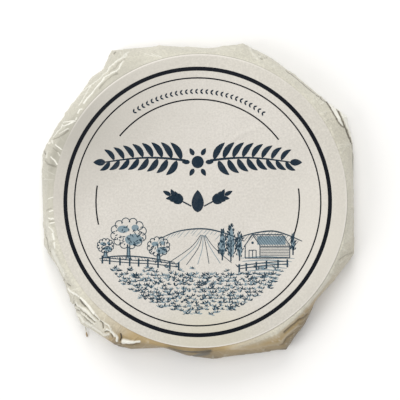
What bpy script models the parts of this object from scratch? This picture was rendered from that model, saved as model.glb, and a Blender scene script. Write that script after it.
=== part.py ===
"""A whole round soft cheese wrapped in waxed paper, with a round paper label on its top.

The cheese and its wrapper are one closed solid. The paper lies flat on the top, is stretched down
the side between the tips of its pleats, and is folded into flat pleats underneath. The label is a
thin disc on the top. Metres, +Z up. The origin is the middle of the underside.
"""

import math

import bmesh
import bpy

# The cheese in its paper
HEIGHT = 0.0310
SIDE_RADIUS = 0.0972

# Widest step round the loft in degrees, and rings down its side
ROUND_STEP = 1.9
SIDE_RINGS = 14

# The top is flat out to one radius and falls away slightly from there to the shoulder
FLAT_RADIUS = 0.0780
SHOULDER_RADIUS = 0.0966
SHOULDER_DROP = 0.0017

# Tips of the wrapper's pleats, anticlockwise from +X: angle in degrees, and reach from the middle
PLEAT_TIPS = (
    (20.5, 0.1095),
    (30.0, 0.1140),
    (39.5, 0.1080),
    (52.5, 0.1060),
    (63.0, 0.1075),
    (74.0, 0.1095),
    (86.0, 0.1025),
    (102.5, 0.1065),
    (119.5, 0.1160),
    (125.0, 0.1085),
    (130.0, 0.1085),
    (150.5, 0.1060),
    (161.5, 0.1075),
    (170.5, 0.1045),
    (195.5, 0.1050),
    (207.0, 0.1015),
    (218.0, 0.1050),
    (226.0, 0.1100),
    (241.0, 0.1080),
    (245.5, 0.1060),
    (256.5, 0.0980),
    (275.5, 0.1035),
    (301.0, 0.1125),
    (311.5, 0.1065),
    (320.5, 0.1010),
    (332.0, 0.1040),
    (342.0, 0.1085),
    (357.5, 0.1030),
)

# Down the side: share of the height, radius there without pleats, share of a pleat's reach
SIDE = (
    (0.905, 0.0970, 0.20),
    (0.80, 0.0972, 0.42),
    (0.66, 0.0972, 0.68),
    (0.48, 0.0972, 0.91),
    (0.30, 0.0972, 1.00),
    (0.16, 0.0970, 0.96),
    (0.06, 0.0964, 0.86),
)

# Where folds lie in layers on the side: from and to in degrees, number of layers, depth of each
LAYERED_FOLDS = (
    (20.0, 41.0, 2, 0.0016),
    (117.0, 152.0, 2, 0.0010),
    (205.0, 242.0, 3, 0.0014),
)

# Across the underside: radius, share of a pleat's reach, share of the folds' depth
UNDERSIDE = (
    (0.0940, 0.72, 0.30),
    (0.0880, 0.30, 0.90),
    (0.0700, 0.00, 1.00),
    (0.0480, 0.00, 0.90),
    (0.0300, 0.00, 0.60),
)
CENTRE_PATCH_RADIUS = 0.0220

# Flat folds of the underside
FOLDS = 28
FOLD_DEPTH = 0.0008

# The label
LABEL_RADIUS = 0.0962
LABEL_THICKNESS = 0.0004
LABEL_GAP = 0.0003
LABEL_SEGMENTS = 96

# Colours (linear), roughness
WAXED_PAPER = ((0.617, 0.597, 0.503, 1.0), 0.42)
LABEL_PAPER = ((0.694, 0.651, 0.590, 1.0), 0.62)


def clear_scene():
    for obj in list(bpy.data.objects):
        bpy.data.objects.remove(obj, do_unlink=True)


def new_collection(name):
    collection = bpy.data.collections.new(name)
    bpy.context.scene.collection.children.link(collection)
    return collection


def new_material(name, look):
    colour, roughness = look
    material = bpy.data.materials.new(name)
    material.use_nodes = True
    shader = material.node_tree.nodes["Principled BSDF"]
    shader.inputs["Base Color"].default_value = colour
    shader.inputs["Roughness"].default_value = roughness
    shader.inputs["Metallic"].default_value = 0.0
    return material


def top_height(radius):
    """Height of the wrapped cheese's top at a radius."""
    share = max(0.0, radius - FLAT_RADIUS) / (SHOULDER_RADIUS - FLAT_RADIUS)
    return HEIGHT - SHOULDER_DROP * share * share


def paper_reach(angle):
    """Distance from the middle to the paper, which is taut between one pleat tip and the next."""
    tips = [(math.radians(degrees), reach) for degrees, reach in PLEAT_TIPS]
    tips.append((tips[0][0] + math.tau, tips[0][1]))
    if angle < tips[0][0]:
        angle += math.tau
    for (start, near), (end, far) in zip(tips, tips[1:]):
        if start <= angle <= end:
            break
    across = near * math.sin(angle - start) + far * math.sin(end - angle)
    return near * far * math.sin(end - start) / across


def fold_rise(angle):
    """How far the paper is lifted between two folds of the underside, from 0 to 1."""
    place = angle + 0.05 * math.sin(5.0 * angle + 1.0)
    phase = (place / math.tau * FOLDS) % 1.0
    if phase < 0.45:
        return 0.0
    if phase < 0.57:
        return (phase - 0.45) / 0.12
    return (1.0 - phase) / 0.43


def layer_edge(angle, share):
    """How far a layered fold stands out, or in, at a share of the way down the side."""
    degrees = math.degrees(angle) % 360.0
    for start, end, count, depth in LAYERED_FOLDS:
        if start < degrees < end:
            fade = math.sin(math.pi * (degrees - start) / (end - start))
            return depth * fade * ((share * count) % 1.0 - 0.5)
    return 0.0


def round_angles():
    """Angles round the loft, evenly spaced from each pleat tip to the next."""
    tips = [degrees for degrees, _ in PLEAT_TIPS]
    angles = []
    for start, end in zip(tips, tips[1:] + [tips[0] + 360.0]):
        count = math.ceil((end - start) / ROUND_STEP)
        angles += [math.radians(start + (end - start) * step / count) for step in range(count)]
    return angles


def side_section(share):
    """Height, radius and reach at a share of the way down the side."""
    place = share * (len(SIDE) - 1)
    row = min(int(place), len(SIDE) - 2)
    part = place - row
    level, radius, reach = (a + (b - a) * part for a, b in zip(SIDE[row], SIDE[row + 1]))
    return level * HEIGHT, radius, reach


def sections():
    """Rings from the flat top down and under: radius, height, reach, folds, share down the side.

    The share is None for a ring that isn't on the side.
    """
    rings = []
    for radius in (FLAT_RADIUS, 0.0880, 0.0935, SHOULDER_RADIUS):
        rings.append((radius, top_height(radius), 0.0, 0.0, None))
    for index in range(SIDE_RINGS):
        share = index / (SIDE_RINGS - 1)
        height, radius, reach = side_section(share)
        rings.append((radius, height, reach, 0.0, share))
    for radius, reach, folds in UNDERSIDE:
        rings.append((radius, 0.0, reach, folds, None))
    rings.append((CENTRE_PATCH_RADIUS, 0.0, 0.0, 0.0, None))
    return rings


def place_ring(verts, angles, section):
    """Moves a ring's points, which are in the order of the angles, to their section."""
    radius, height, reach, folds, share = section
    for vert, angle in zip(verts, angles):
        out = radius + reach * max(0.0, paper_reach(angle) - SIDE_RADIUS)
        if share is not None:
            out += layer_edge(angle, share)
        rise = height + folds * FOLD_DEPTH * fold_rise(angle)
        vert.co = (out * math.cos(angle), out * math.sin(angle), rise)


def build_wrapped_cheese(collection, material):
    """Loft of unlike sections: round at the shoulder, many-cornered down the side, folded below."""
    bm = bmesh.new()
    angles = round_angles()
    loops = []
    for section in sections():
        verts = bmesh.ops.create_circle(bm, radius=section[0], segments=len(angles))["verts"]
        place_ring(verts, angles, section)
        loops.append([edge for edge in bm.edges if edge.verts[0] in set(verts)])
    bmesh.ops.edgeloop_fill(bm, edges=loops[0])
    for upper, lower in zip(loops, loops[1:]):
        bmesh.ops.bridge_loops(bm, edges=upper + lower)
    bmesh.ops.edgeloop_fill(bm, edges=loops[-1])
    bmesh.ops.recalc_face_normals(bm, faces=bm.faces)
    mesh = bpy.data.meshes.new("wrapped_cheese")
    bm.to_mesh(mesh)
    bm.free()
    mesh.shade_smooth()
    mesh.set_sharp_from_angle(angle=math.radians(24.0))
    wrapped = bpy.data.objects.new("wrapped_cheese", mesh)
    mesh.materials.append(material)
    collection.objects.link(wrapped)
    return wrapped


def build_label(collection, material):
    """Turned disc that follows the top of the cheese at a small gap."""
    radii = (FLAT_RADIUS, 0.0880, 0.0935, LABEL_RADIUS)
    upper = [(radius, top_height(radius) + LABEL_GAP + LABEL_THICKNESS) for radius in radii]
    lower = [(radius, top_height(radius) + LABEL_GAP) for radius in reversed(radii)]
    middle = HEIGHT + LABEL_GAP
    profile = [(0.0, middle + LABEL_THICKNESS)] + upper + lower + [(0.0, middle)]
    bm = bmesh.new()
    verts = [bm.verts.new((radius, 0.0, height)) for radius, height in profile]
    for first, second in zip(verts, verts[1:]):
        bm.edges.new((first, second))
    mesh = bpy.data.meshes.new("label")
    bm.to_mesh(mesh)
    bm.free()
    label = bpy.data.objects.new("label", mesh)
    mesh.materials.append(material)
    collection.objects.link(label)
    turn = label.modifiers.new("turn", 'SCREW')
    turn.axis = 'Z'
    turn.angle = math.tau
    turn.steps = LABEL_SEGMENTS
    turn.render_steps = LABEL_SEGMENTS
    turn.use_merge_vertices = True
    turn.merge_threshold = 0.00005
    turn.use_smooth_shade = False
    return label


def main():
    clear_scene()
    cheese = new_collection("wrapped_soft_cheese")
    build_wrapped_cheese(cheese, new_material("waxed_paper", WAXED_PAPER))
    build_label(cheese, new_material("label_paper", LABEL_PAPER))


if __name__ == "__main__":
    main()
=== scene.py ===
import math
import random

import bmesh
import bpy
import numpy as np
from bpy.props import FloatProperty, FloatVectorProperty, IntProperty, PointerProperty
from bpy.types import Operator, Panel, PropertyGroup
from mathutils import Matrix, Vector


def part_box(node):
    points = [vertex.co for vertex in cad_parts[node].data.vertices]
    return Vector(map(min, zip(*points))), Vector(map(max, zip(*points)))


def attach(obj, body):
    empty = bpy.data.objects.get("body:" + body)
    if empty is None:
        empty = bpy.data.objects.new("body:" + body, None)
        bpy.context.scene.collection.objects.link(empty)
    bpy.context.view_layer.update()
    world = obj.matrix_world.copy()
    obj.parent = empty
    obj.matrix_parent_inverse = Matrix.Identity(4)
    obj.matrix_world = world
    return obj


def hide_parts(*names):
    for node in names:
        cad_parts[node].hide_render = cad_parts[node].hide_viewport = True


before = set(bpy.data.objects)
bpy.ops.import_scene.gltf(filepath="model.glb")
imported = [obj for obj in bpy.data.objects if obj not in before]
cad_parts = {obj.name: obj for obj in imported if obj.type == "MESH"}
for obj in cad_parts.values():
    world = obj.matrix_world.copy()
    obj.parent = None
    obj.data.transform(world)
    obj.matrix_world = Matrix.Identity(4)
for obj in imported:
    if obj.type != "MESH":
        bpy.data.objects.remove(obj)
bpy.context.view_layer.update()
CHEESE_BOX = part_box("wrapped_cheese")
MM = 0.001

bl_info = {
    "name": "Wrapped brie",
    "version": (1, 0, 0),
    "blender": (4, 5, 0),
    "location": "View3D > Sidebar > Brie",
    "description": "A whole brie in pleated waxed paper with a round printed label",
    "category": "Object",
}

# The form of the cheese in its paper, in metres
HEIGHT = CHEESE_BOX[1].z
SIDE_RADIUS = 0.0972
FLAT_RADIUS = 0.078
SHOULDER_RADIUS = 0.0966
SHOULDER_DROP = 0.0017
FOLDS = 28

# From the camera to the label, and the lean of its view
VIEW_DISTANCE = 1.4
VIEW_LEAN = math.radians(2)

# Tips of the wrapper's pleats, anticlockwise from +X: angle in degrees, reach from the middle
PLEAT_TIPS = (
    (20.5, 0.1095), (30, 0.114), (39.5, 0.108), (52.5, 0.106), (63, 0.1075), (74, 0.1095), (86, 0.1025),
    (102.5, 0.1065), (119.5, 0.116), (125, 0.1085), (130, 0.1085), (150.5, 0.106), (161.5, 0.1075), (170.5, 0.1045),
    (195.5, 0.105), (207, 0.1015), (218, 0.105), (226, 0.11), (241, 0.108), (245.5, 0.106), (256.5, 0.098),
    (267.5, 0.1013), (275.5, 0.1032), (301, 0.1125), (311.5, 0.1065), (320.5, 0.101), (332, 0.104), (342, 0.1085),
    (357.5, 0.103),
)

# From the flat top over the side to the middle of the underside:
# radius, share of the height, share of a pleat's reach, share of the folds, rows of faces to the next
PROFILE = (
    (0.086, None, 0, 0, 1), (0.093, None, 0, 0, 6), (0.0966, None, 0, 0, 7),
    (0.097, 0.905, 0.2, 0, 7), (0.0972, 0.8, 0.42, 0, 7), (0.0972, 0.66, 0.68, 0, 8), (0.0972, 0.48, 0.91, 0, 7),
    (0.0972, 0.3, 1, 0, 6), (0.097, 0.16, 0.96, 0, 4), (0.0964, 0.06, 0.86, 0, 4),
    (0.094, 0, 0.72, 0.3, 2), (0.088, 0, 0.3, 0.9, 3), (0.07, 0, 0, 1, 2), (0.048, 0, 0, 0.9, 2),
    (0.03, 0, 0, 0.6, 1), (0.022, 0, 0, 0, 0),
)
SIDE_START, SIDE_END = 3, 9

# Share of the columns of faces up to each angle in degrees: closest where there are most creases
COLUMN_SHARES = (
    (0, 0), (0.02, 15), (0.11, 45), (0.18, 100), (0.22, 118), (0.46, 172), (0.57, 204), (0.84, 250), (0.9, 300),
    (0.97, 350), (1, 360),
)

# Flat map of the paper: millimetres round it for each radian, a pleat's usual reach in metres, and
# weight of the length down it
TURN_LENGTH = 104
USUAL_REACH = 0.008
DOWN_WEIGHT = 0.6

# Where folds lie in layers on the side: from and to in degrees, number of layers, depth of each
LAYERED_FOLDS = ((20, 41, 2, 0.001), (117, 152, 2, 0.0008), (205, 242, 3, 0.0014))

# Creases round the label, as they show from above. Each has a height and a half width in millimetres, a
# whitening up to 1 or a darkening down to -1, and then the angle in degrees and the distance from the middle in
# millimetres of each of its points. Grooves have a negative height. The whitening is whitened wax and partly
# painted highlight; the darkening is painted shade.
CREASES = (
    # broad places of painted light and painted shade
    (0.1, 6, 0.25, 188, 98.8, 194, 98.8), (0.2, 6, 0.5, 199, 99.6, 208, 98.8),
    (0.1, 6, 0.35, 224, 102, 229, 102.4, 234, 102.4), (0.1, 5, 0.3, 317, 98.4, 330, 98.6),
    (-0.1, 5, -0.1, 160.5, 98.8, 167.5, 98.2), (-0.2, 7, -0.92, 261.5, 98, 265, 99, 269.5, 99.6, 273.5, 98.6),
    (0.1, 6, 0.17, 346, 101, 353, 100.6, 360, 100.6, 368, 101),
    # right and upper right
    (-0.1, 2.2, -0.7, 12, 103.3, 14.9, 104.2, 18, 105.9, 20.9, 107.6),
    (-0.1, 1.6, -0.7, 37.9, 105.8, 39.8, 104.9, 42.8, 104, 47.8, 103.1, 52, 102.9, 56, 103.4),
    (0.3, 0.8, 0.3, 20.9, 98, 20.6, 103, 21.2, 106.6), (0.3, 0.8, 0.5, 38.6, 101.6, 38.4, 104.6),
    (-0.4, 1.2, -0.5, 37.6, 106.8, 39.6, 107.6), (-0.8, 1, -0.4, 64.4, 105, 66, 102, 67.6, 104.4),
    (0.5, 0.7, 0.6, 67.4, 100.6, 66.7, 104.2), (0.5, 2.4, 0.3, 68.2, 101.4, 71, 104.8, 74, 108.2),
    # top and upper left
    (0.4, 0.6, 0.7, 104.2, 97.4, 105.6, 99.2), (0.4, 0.6, 0.7, 105.8, 98.6, 107.4, 101.6),
    (0.4, 0.6, 0.6, 107, 99.4, 109.6, 102.6),
    (0.7, 0.7, 1, 114.6, 107.6, 117.2, 106.3, 119.2, 105.6, 121.2, 105.2, 123, 104.6, 124.6, 103.3, 126.9, 102.8,
     128.5, 102.4, 130.2, 102.7, 132.2, 102.8, 134.9, 103.3, 137, 103.6),
    (0.7, 0.75, 1, 115.6, 106.4, 117.9, 104.1, 119.2, 102.6, 120.6, 100.7, 121.8, 100.4, 123.8, 101, 125.9, 101.3,
     127, 100.9),
    (0.8, 1.15, 1, 127, 100.9, 128.6, 100.3, 130.5, 99.9, 132, 99.5, 134.1, 98.7, 137.1, 98.5, 139.2, 98),
    (0.6, 0.8, 0.9, 132.6, 102.6, 134.4, 101.8, 136.2, 100.8, 138.6, 100.3, 141, 99.4),
    (-0.5, 0.8, -0.3, 116.6, 104.6, 119, 104.2, 121.6, 102.8, 124.4, 102.2),
    (-0.5, 1, -0.35, 122, 98.8, 125, 99.6, 127.4, 99.2, 131, 97.9), (-0.6, 1.2, -0.6, 118.6, 112, 119.4, 111.4),
    (0.5, 0.9, 0.9, 141.3, 96.6, 142, 97.6, 143.6, 97.1), (0.4, 0.9, 0.9, 145.2, 96, 146, 95.8),
    (0.7, 1, 1, 149.4, 101.2, 148.8, 100, 148.2, 98.7, 147.3, 97.2, 146.6, 95.6),
    (0.7, 1, 1, 146.8, 95.6, 148.1, 97, 149.2, 98.1, 150.5, 99.8, 150.3, 101.3),
    (0.6, 1, 0.9, 150.4, 100.8, 152.1, 101, 154, 102, 155.6, 102.9),
    (0.4, 0.9, 0.6, 150.5, 97, 152, 98.5, 153.6, 100.2),
    (-0.9, 1.2, -0.35, 151.2, 96.3, 153.1, 98, 155, 100, 156.3, 102.5), (0.4, 1.4, 0.7, 157, 102.9, 157.8, 101.8),
    (0.5, 1.8, 0.8, 158.4, 104.2, 158.2, 103.2), (0.6, 1, 1, 158.1, 99.6, 158.6, 97.4, 159, 95.2),
    (-0.5, 1, -0.3, 159.6, 100.6, 160.2, 98, 160.6, 95.6), (0.4, 0.9, 0.5, 160.6, 96.4, 161.6, 94.4),
    (0.6, 1.1, 1, 163, 99.8, 163.8, 97.2, 165.1, 94.8), (-1, 1.5, -0.3, 164.8, 103, 165.8, 101, 166, 98, 166.2, 95.6),
    (-0.9, 1.3, -0.7, 161, 105.6, 162.6, 103.8), (0.4, 1.6, 0.5, 161.6, 103, 163.6, 102.2),
    (0.4, 0.9, 0.7, 179, 97.4, 178.2, 94.2),
    # left
    (-0.5, 1, -0.3, 183.4, 98.8, 182.7, 95.2), (0.4, 1, 0.9, 183.8, 96.8, 183.5, 94.4),
    (0.4, 1, 1, 186.2, 97.6, 186.9, 95.6), (0.4, 1, 1, 186.5, 95.2, 186.9, 93.8),
    (-0.5, 0.9, -0.4, 187.6, 97.8, 187.7, 94.4), (0.4, 1, 1, 188.4, 97, 188.2, 94),
    (0.5, 1, 0.8, 189.5, 98, 190.9, 96.4, 192, 95.8), (0.5, 1.2, 1, 192.4, 96.4, 194.8, 96.6),
    (0.5, 1.1, 0.9, 195.9, 97, 198, 97.6),
    (-0.8, 1.1, -0.6, 190.2, 101, 191.8, 101.6, 193.8, 100.8, 195.4, 101, 197.4, 101.3, 198.8, 100.8),
    (0.4, 1.2, 0.6, 200.2, 98.8, 201.6, 100.2), (-1, 1.4, -0.7, 208.6, 100.8, 210.4, 100, 212.4, 99.8, 213.4, 99.2),
    # fan of long folds at the lower left
    (0.8, 1.7, 1, 213.6, 100.4, 215, 100.1, 216.2, 99.6, 218.6, 98.7),
    (0.9, 1.3, 1, 219.3, 98.3, 222, 97.9, 224.5, 98.2, 227.2, 98.9),
    (0.6, 1.1, 0.8, 227.2, 98.9, 229, 99.2, 230.2, 99.7),
    (0.6, 1.1, 0.8, 230.4, 99.7, 232, 99.2, 234.2, 98.9, 235.8, 99.6),
    (-0.9, 1.2, -0.9, 219.6, 99.7, 221.4, 100.2, 223.4, 99.7),
    (-0.7, 0.9, -0.6, 223.4, 99.7, 226.3, 99.9, 228.2, 100.1, 229.8, 100.3),
    (-0.9, 1.1, -0.8, 230.8, 100.1, 232, 100.4, 233.2, 102),
    (0.7, 1.5, 0.8, 219.6, 101.8, 220.8, 102.3, 223.3, 101.2, 226, 101.2, 229.4, 101.6),
    (-1.4, 1.4, -0.9, 218.5, 104.5, 220, 103.8, 222, 103.1),
    (-0.9, 1, -0.7, 222, 103.1, 224, 102.8, 226.4, 102.5, 229.5, 102.5),
    (0.5, 0.9, 0.7, 220.6, 104.3, 223, 103.7, 226, 103.4, 230, 103.4),
    (-0.8, 0.9, -0.6, 220.1, 104.8, 222.2, 104.7, 224.3, 104.4, 226.1, 104.3, 229.6, 104.2),
    (-0.5, 0.9, -0.5, 230.3, 104.7, 231.8, 104.9),
    (0.6, 2.6, 0.7, 220, 106, 224, 106, 228, 106, 232, 105.4, 234.6, 105),
    (-1.2, 1, -0.9, 234.5, 103, 235, 102, 235.5, 101.3), (0.8, 1.6, 1, 234.5, 101.2, 235.8, 100.6),
    (0.8, 2.2, 0.8, 235, 104.4, 236, 102.8),
    (1, 2.2, 1, 236.3, 100.8, 237.5, 101.2, 238.6, 101.3, 239.4, 101.9, 239.8, 103.8),
    (-1.1, 1.1, -0.8, 236.6, 102, 237.5, 102.8, 238.1, 103.6), (-1.3, 1.3, -1, 239.8, 99.6, 240.7, 101, 240.8, 102.6),
    (1.1, 4.2, 1, 242, 101.7, 243.6, 100.9), (1, 3.2, 1, 243.6, 100.8, 245.4, 99.6),
    (0.8, 2, 1, 245.4, 99.4, 247.4, 98.2), (0.8, 1.4, 0.6, 241.8, 102.8, 242.8, 103),
    (-0.8, 1.2, -0.7, 241.4, 104.2, 244.6, 102.6, 247.6, 99.6),
    # bottom and lower right
    (-0.9, 1.4, -0.8, 252, 99.4, 255.6, 98.4, 259, 97.8), (-0.9, 3, -0.9, 259, 97, 263, 97.6, 268, 98, 275, 97.8),
    (0.6, 2.4, 0.1, 283, 97.8, 290, 100.8, 298, 104.3, 301, 106.3),
    (-1, 1.5, -0.6, 303.6, 101.9, 307.2, 101.2, 311, 101.1, 314, 101.9),
    (0.6, 1.6, 0.2, 300.8, 105, 304, 103.6, 309, 102.8), (-0.6, 1.4, -0.5, 300.2, 107, 303, 105.6, 306, 105),
    (0.5, 0.8, 0.4, 336.5, 100.2, 339.5, 103, 341.6, 106), (-0.4, 1, -0.35, 337.6, 99.4, 340.4, 102.4, 342.8, 106),
    (0.4, 0.8, 0.25, 341.6, 106, 344, 103, 349, 101.4),
)

# Steps where the upper sheet of paper ends and white paper shows beyond it, its whiteness a painted highlight, with a
# painted shadow line along the edge: depth in millimetres, negative where the white paper stands out, and then the
# points of the edge, as for a crease
STEPS = (
    (0.3, 27, 107.4, 28, 106.2, 29.8, 105.7, 31.6, 105.7, 34, 105.8, 36, 106, 37.8, 106.4, 38.4, 107.8),
    (-0.5, 20.8, 107.8, 21.4, 107.2, 24, 107.4, 27.3, 107.9, 29.5, 108.3, 32, 108.8, 34.5, 109.2, 36.4, 109.9),
)

# Painted shade on the waxed paper, brown low on the side away from the key light: angle in degrees, and strength
# near the label and at the foot of the side. A negative strength paints grey shade instead, near the label at the
# upper left.
PAINTED_SIDE_SHADE = (
    (0, 0, 0.15), (10, 0, 0.1), (24, 0.05, 0.1), (44, 0, 0), (88, -0.08, 0), (106, -0.22, 0), (120, -0.6, 0),
    (130, -0.55, 0), (141, -0.5, 0), (148, -0.85, -0.05), (154, -1, -0.2), (166, -1, -0.25), (176, -0.6, -0.1),
    (186, -0.35, 0), (194, -0.08, 0), (206, -0.02, 0), (214, 0, 0.1), (220, 0.05, 0.05), (226, 0.18, 0),
    (230, 0.25, 0), (235, 0.45, 0.3), (240, 0.75, 1.8), (246, 0.95, 1.45), (256, 1.1, 1.35), (261, 1.4, 1.8),
    (272, 1.4, 1.75), (278, 1.05, 1.3), (286, 0.45, 1.45), (296, 0.2, 1.55), (306, 0.05, 1.85), (314, 0.05, 1.85),
    (322, 0.05, 0.85), (330, 0, 0.5), (338, 0, 0.3), (350, 0, 0.2), (360, 0, 0.15),
)

# Short random creases all the way round
FOLDS_AT_RANDOM = 300

# Painted soft shade on the label's paper, and one painted paler patch at the right: middle in metres, inner and
# outer reach in tenths of a metre, strength, and level of the margin's colour or of its three parts
LABEL_PAINTED_LIGHT = (
    (-0.082, 0.052, 0.12, 0.56, 0.85, 0.66), (-0.035, 0.075, 0.1, 0.6, 0.45, 0.75),
    (-0.094, 0.002, 0.05, 0.32, 0.45, 0.75, 0.74, 0.75), (0.008, -0.094, 0.12, 0.42, 0.6, 0.93, 0.92, 0.8),
    (0.092, -0.03, 0.05, 0.6, 0.7, 1.12),
)

# The label in metres: its form, how far it and its ink lie above what carries them, and how far the painted
# shadow line beside it lies below the top
LABEL_RADIUS = 0.0958
LABEL_X, LABEL_Y = 0.0016, 0.0007
LABEL_COLUMNS, LABEL_ROWS = 420, 100
LABEL_LIFT = 0.00012
INK_LIFT = 0.000012
RIM_SHADOW_DROP = 0.0016

# Radii of the print in millimetres, the inner ring's arcs in degrees, and the print's stretch along Y
THICK_RING = 86.18
THIN_RING = 80.14
INNER_RING = 66.2
INNER_ARCS = ((37.2, 140.2), (171, 193), (339.5, 367.4))
LEAF_ARC = 71.4
LEAF_ARC_START, LEAF_ARC_END, LEAF_PAIRS = 126, 54, 28
MEADOW_EDGE = 73.5
PRINT_STRETCH = 1.0077

# The label's one short crease, in millimetres
LABEL_CREASE = ((20, 37.9), (25.2, 41.8), (32.3, 45.7), (42.1, 48.9))
LABEL_CREASE_WIDTH = 2.6

# The stage in metres, with each light's bearing and height in degrees before its distance and width,
# and the camera's sensor in millimetres
LIGHTS = (("key", 95, 45, 4, 2.2), ("fill", 205, 45, 4, 2.2), ("ceiling", 90, 83, 2.4, 2))
LIGHT_TINT = (1, 0.99, 0.97)
SKY_TINT = (1, 0.99, 0.975, 1)
FLOOR_HALF_WIDTH = 3
FLOOR_LEVEL = -0.0002
VIEW_TARGET = (0.0015, 0.00106)
SENSOR_WIDTH = 36


def linear(red, green, blue):
    """Linear colour of a colour given from 0 to 255 as it shows on a screen."""
    return tuple(((level / 255 + 0.055) / 1.055) ** 2.4 for level in (red, green, blue))


def toned(colour, *levels):
    """Colour with its three parts made darker or paler, by one level or by a level each."""
    return tuple(min(1, part * level) for part, level in zip(colour, levels * 3))


def weathered(ink, *levels):
    """Ink moved most of the way to a colour that is given as it shows on a screen."""
    return tuple(part * 0.3 + other * 0.7 for part, other in zip(ink, linear(*levels)))


def metres(name, description, default, least=0):
    """Property that is a length in metres."""
    return FloatProperty(name=name, description=description, default=default, min=least, unit='LENGTH')


def watts(name, description, default):
    """Property that is the power of a light."""
    return FloatProperty(name=name, description=description, default=default, min=0, unit='POWER')


def screen_colour(name, description, *levels):
    """Property that is a colour, given as it shows on a screen."""
    return FloatVectorProperty(
        name=name, description=description, default=linear(*levels), min=0, max=1, subtype='COLOR', size=3)


class WrapperLook(PropertyGroup):
    """What a user would change on the waxed paper."""
    columns: IntProperty(name="Columns", description="Faces round the wrapper", default=1400, min=90, max=1430)
    pleat_depth: metres("Pleat depth", "How far each pleat of the side stands out", 0.0006)
    fold_depth: metres("Fold depth", "Height of the flat folds of the underside", 0.0008)
    crumple_depth: metres("Crumple depth", "Depth of the crumples between the creases", 0.0006)
    paper: screen_colour("Paper", "Colour of the waxed paper", 208, 205, 191)
    # Also the colour of painted highlights along ridges and on the paper beyond the steps
    crease: screen_colour("Crease", "Colour of the paper where a crease has whitened its wax", 240, 239, 230)
    # Colour of the painted brown shade low on the side
    damp: screen_colour("Painted brown shade", "Colour of the paper low on the side", 161, 140, 101)


class LabelLook(PropertyGroup):
    """What a user would change on the label."""
    thickness: metres("Thickness", "Thickness of the label", 0.00028, 0.00005)
    wave: metres("Wave", "Height of the waves in the label", 0.00016)
    ink_height: metres("Ink height", "Thickness of the printed ink", 0.00004, 0.00001)
    thick_line: metres("Thick ring", "Width of the thick ring", 0.0026, 0.0001)
    thin_line: metres("Thin lines", "Width of the thin ring and arcs", 0.00092, 0.0001)
    paper: screen_colour("Paper", "Colour of the label", 210, 206, 200)
    margin: screen_colour("Margin", "Colour of the label towards its edge", 206, 202, 193)
    ink: screen_colour("Dark ink", "Colour of the rings and ornaments", 5, 12, 22)
    blue_ink: screen_colour("Blue ink", "Colour of the lighter lines of the meadow", 122, 142, 152)


class StageLook(PropertyGroup):
    """What a user would change on the floor, the light and the camera."""
    floor: FloatVectorProperty(
        name="Floor", description="Colour of the floor", default=(0.95, 0.95, 0.95), subtype='COLOR', size=3)
    key: watts("Key light", "Power of the light from behind", 58)
    fill: watts("Fill light", "Power of the light from the left", 48)
    ceiling: watts("Ceiling", "Power of the light from above", 16)
    sky: FloatProperty(name="Sky", description="Strength of the even light", default=0.46, min=0)
    distance: metres("Camera distance", "From the camera to the label", VIEW_DISTANCE)
    lean: FloatProperty(
        name="Camera lean", description="Angle between the view and straight down", default=VIEW_LEAN,
        unit='ROTATION')
    view_width: metres("View width", "Width that the camera sees at the label", 0.2605, 0.001)


# Shaders


class Value:
    """A number from a node, on which Python's own signs add Math nodes."""

    def __init__(self, finish, socket):
        self.finish = finish
        self.socket = socket

    def math(self, operation, first, second=0):
        node = self.finish.add('ShaderNodeMath', {'operation': operation}, {0: first, 1: second})
        return Value(self.finish, node.outputs[0])

    def __add__(self, other):
        return self.math('ADD', self, other)

    def __radd__(self, other):
        return self.math('ADD', other, self)

    def __sub__(self, other):
        return self.math('SUBTRACT', self, other)

    def __rsub__(self, other):
        return self.math('SUBTRACT', other, self)

    def __mul__(self, other):
        return self.math('MULTIPLY', self, other)

    def __rmul__(self, other):
        return self.math('MULTIPLY', other, self)

    def clamped(self):
        return self.math('MINIMUM', self.math('MAXIMUM', self, 0), 1)


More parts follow.
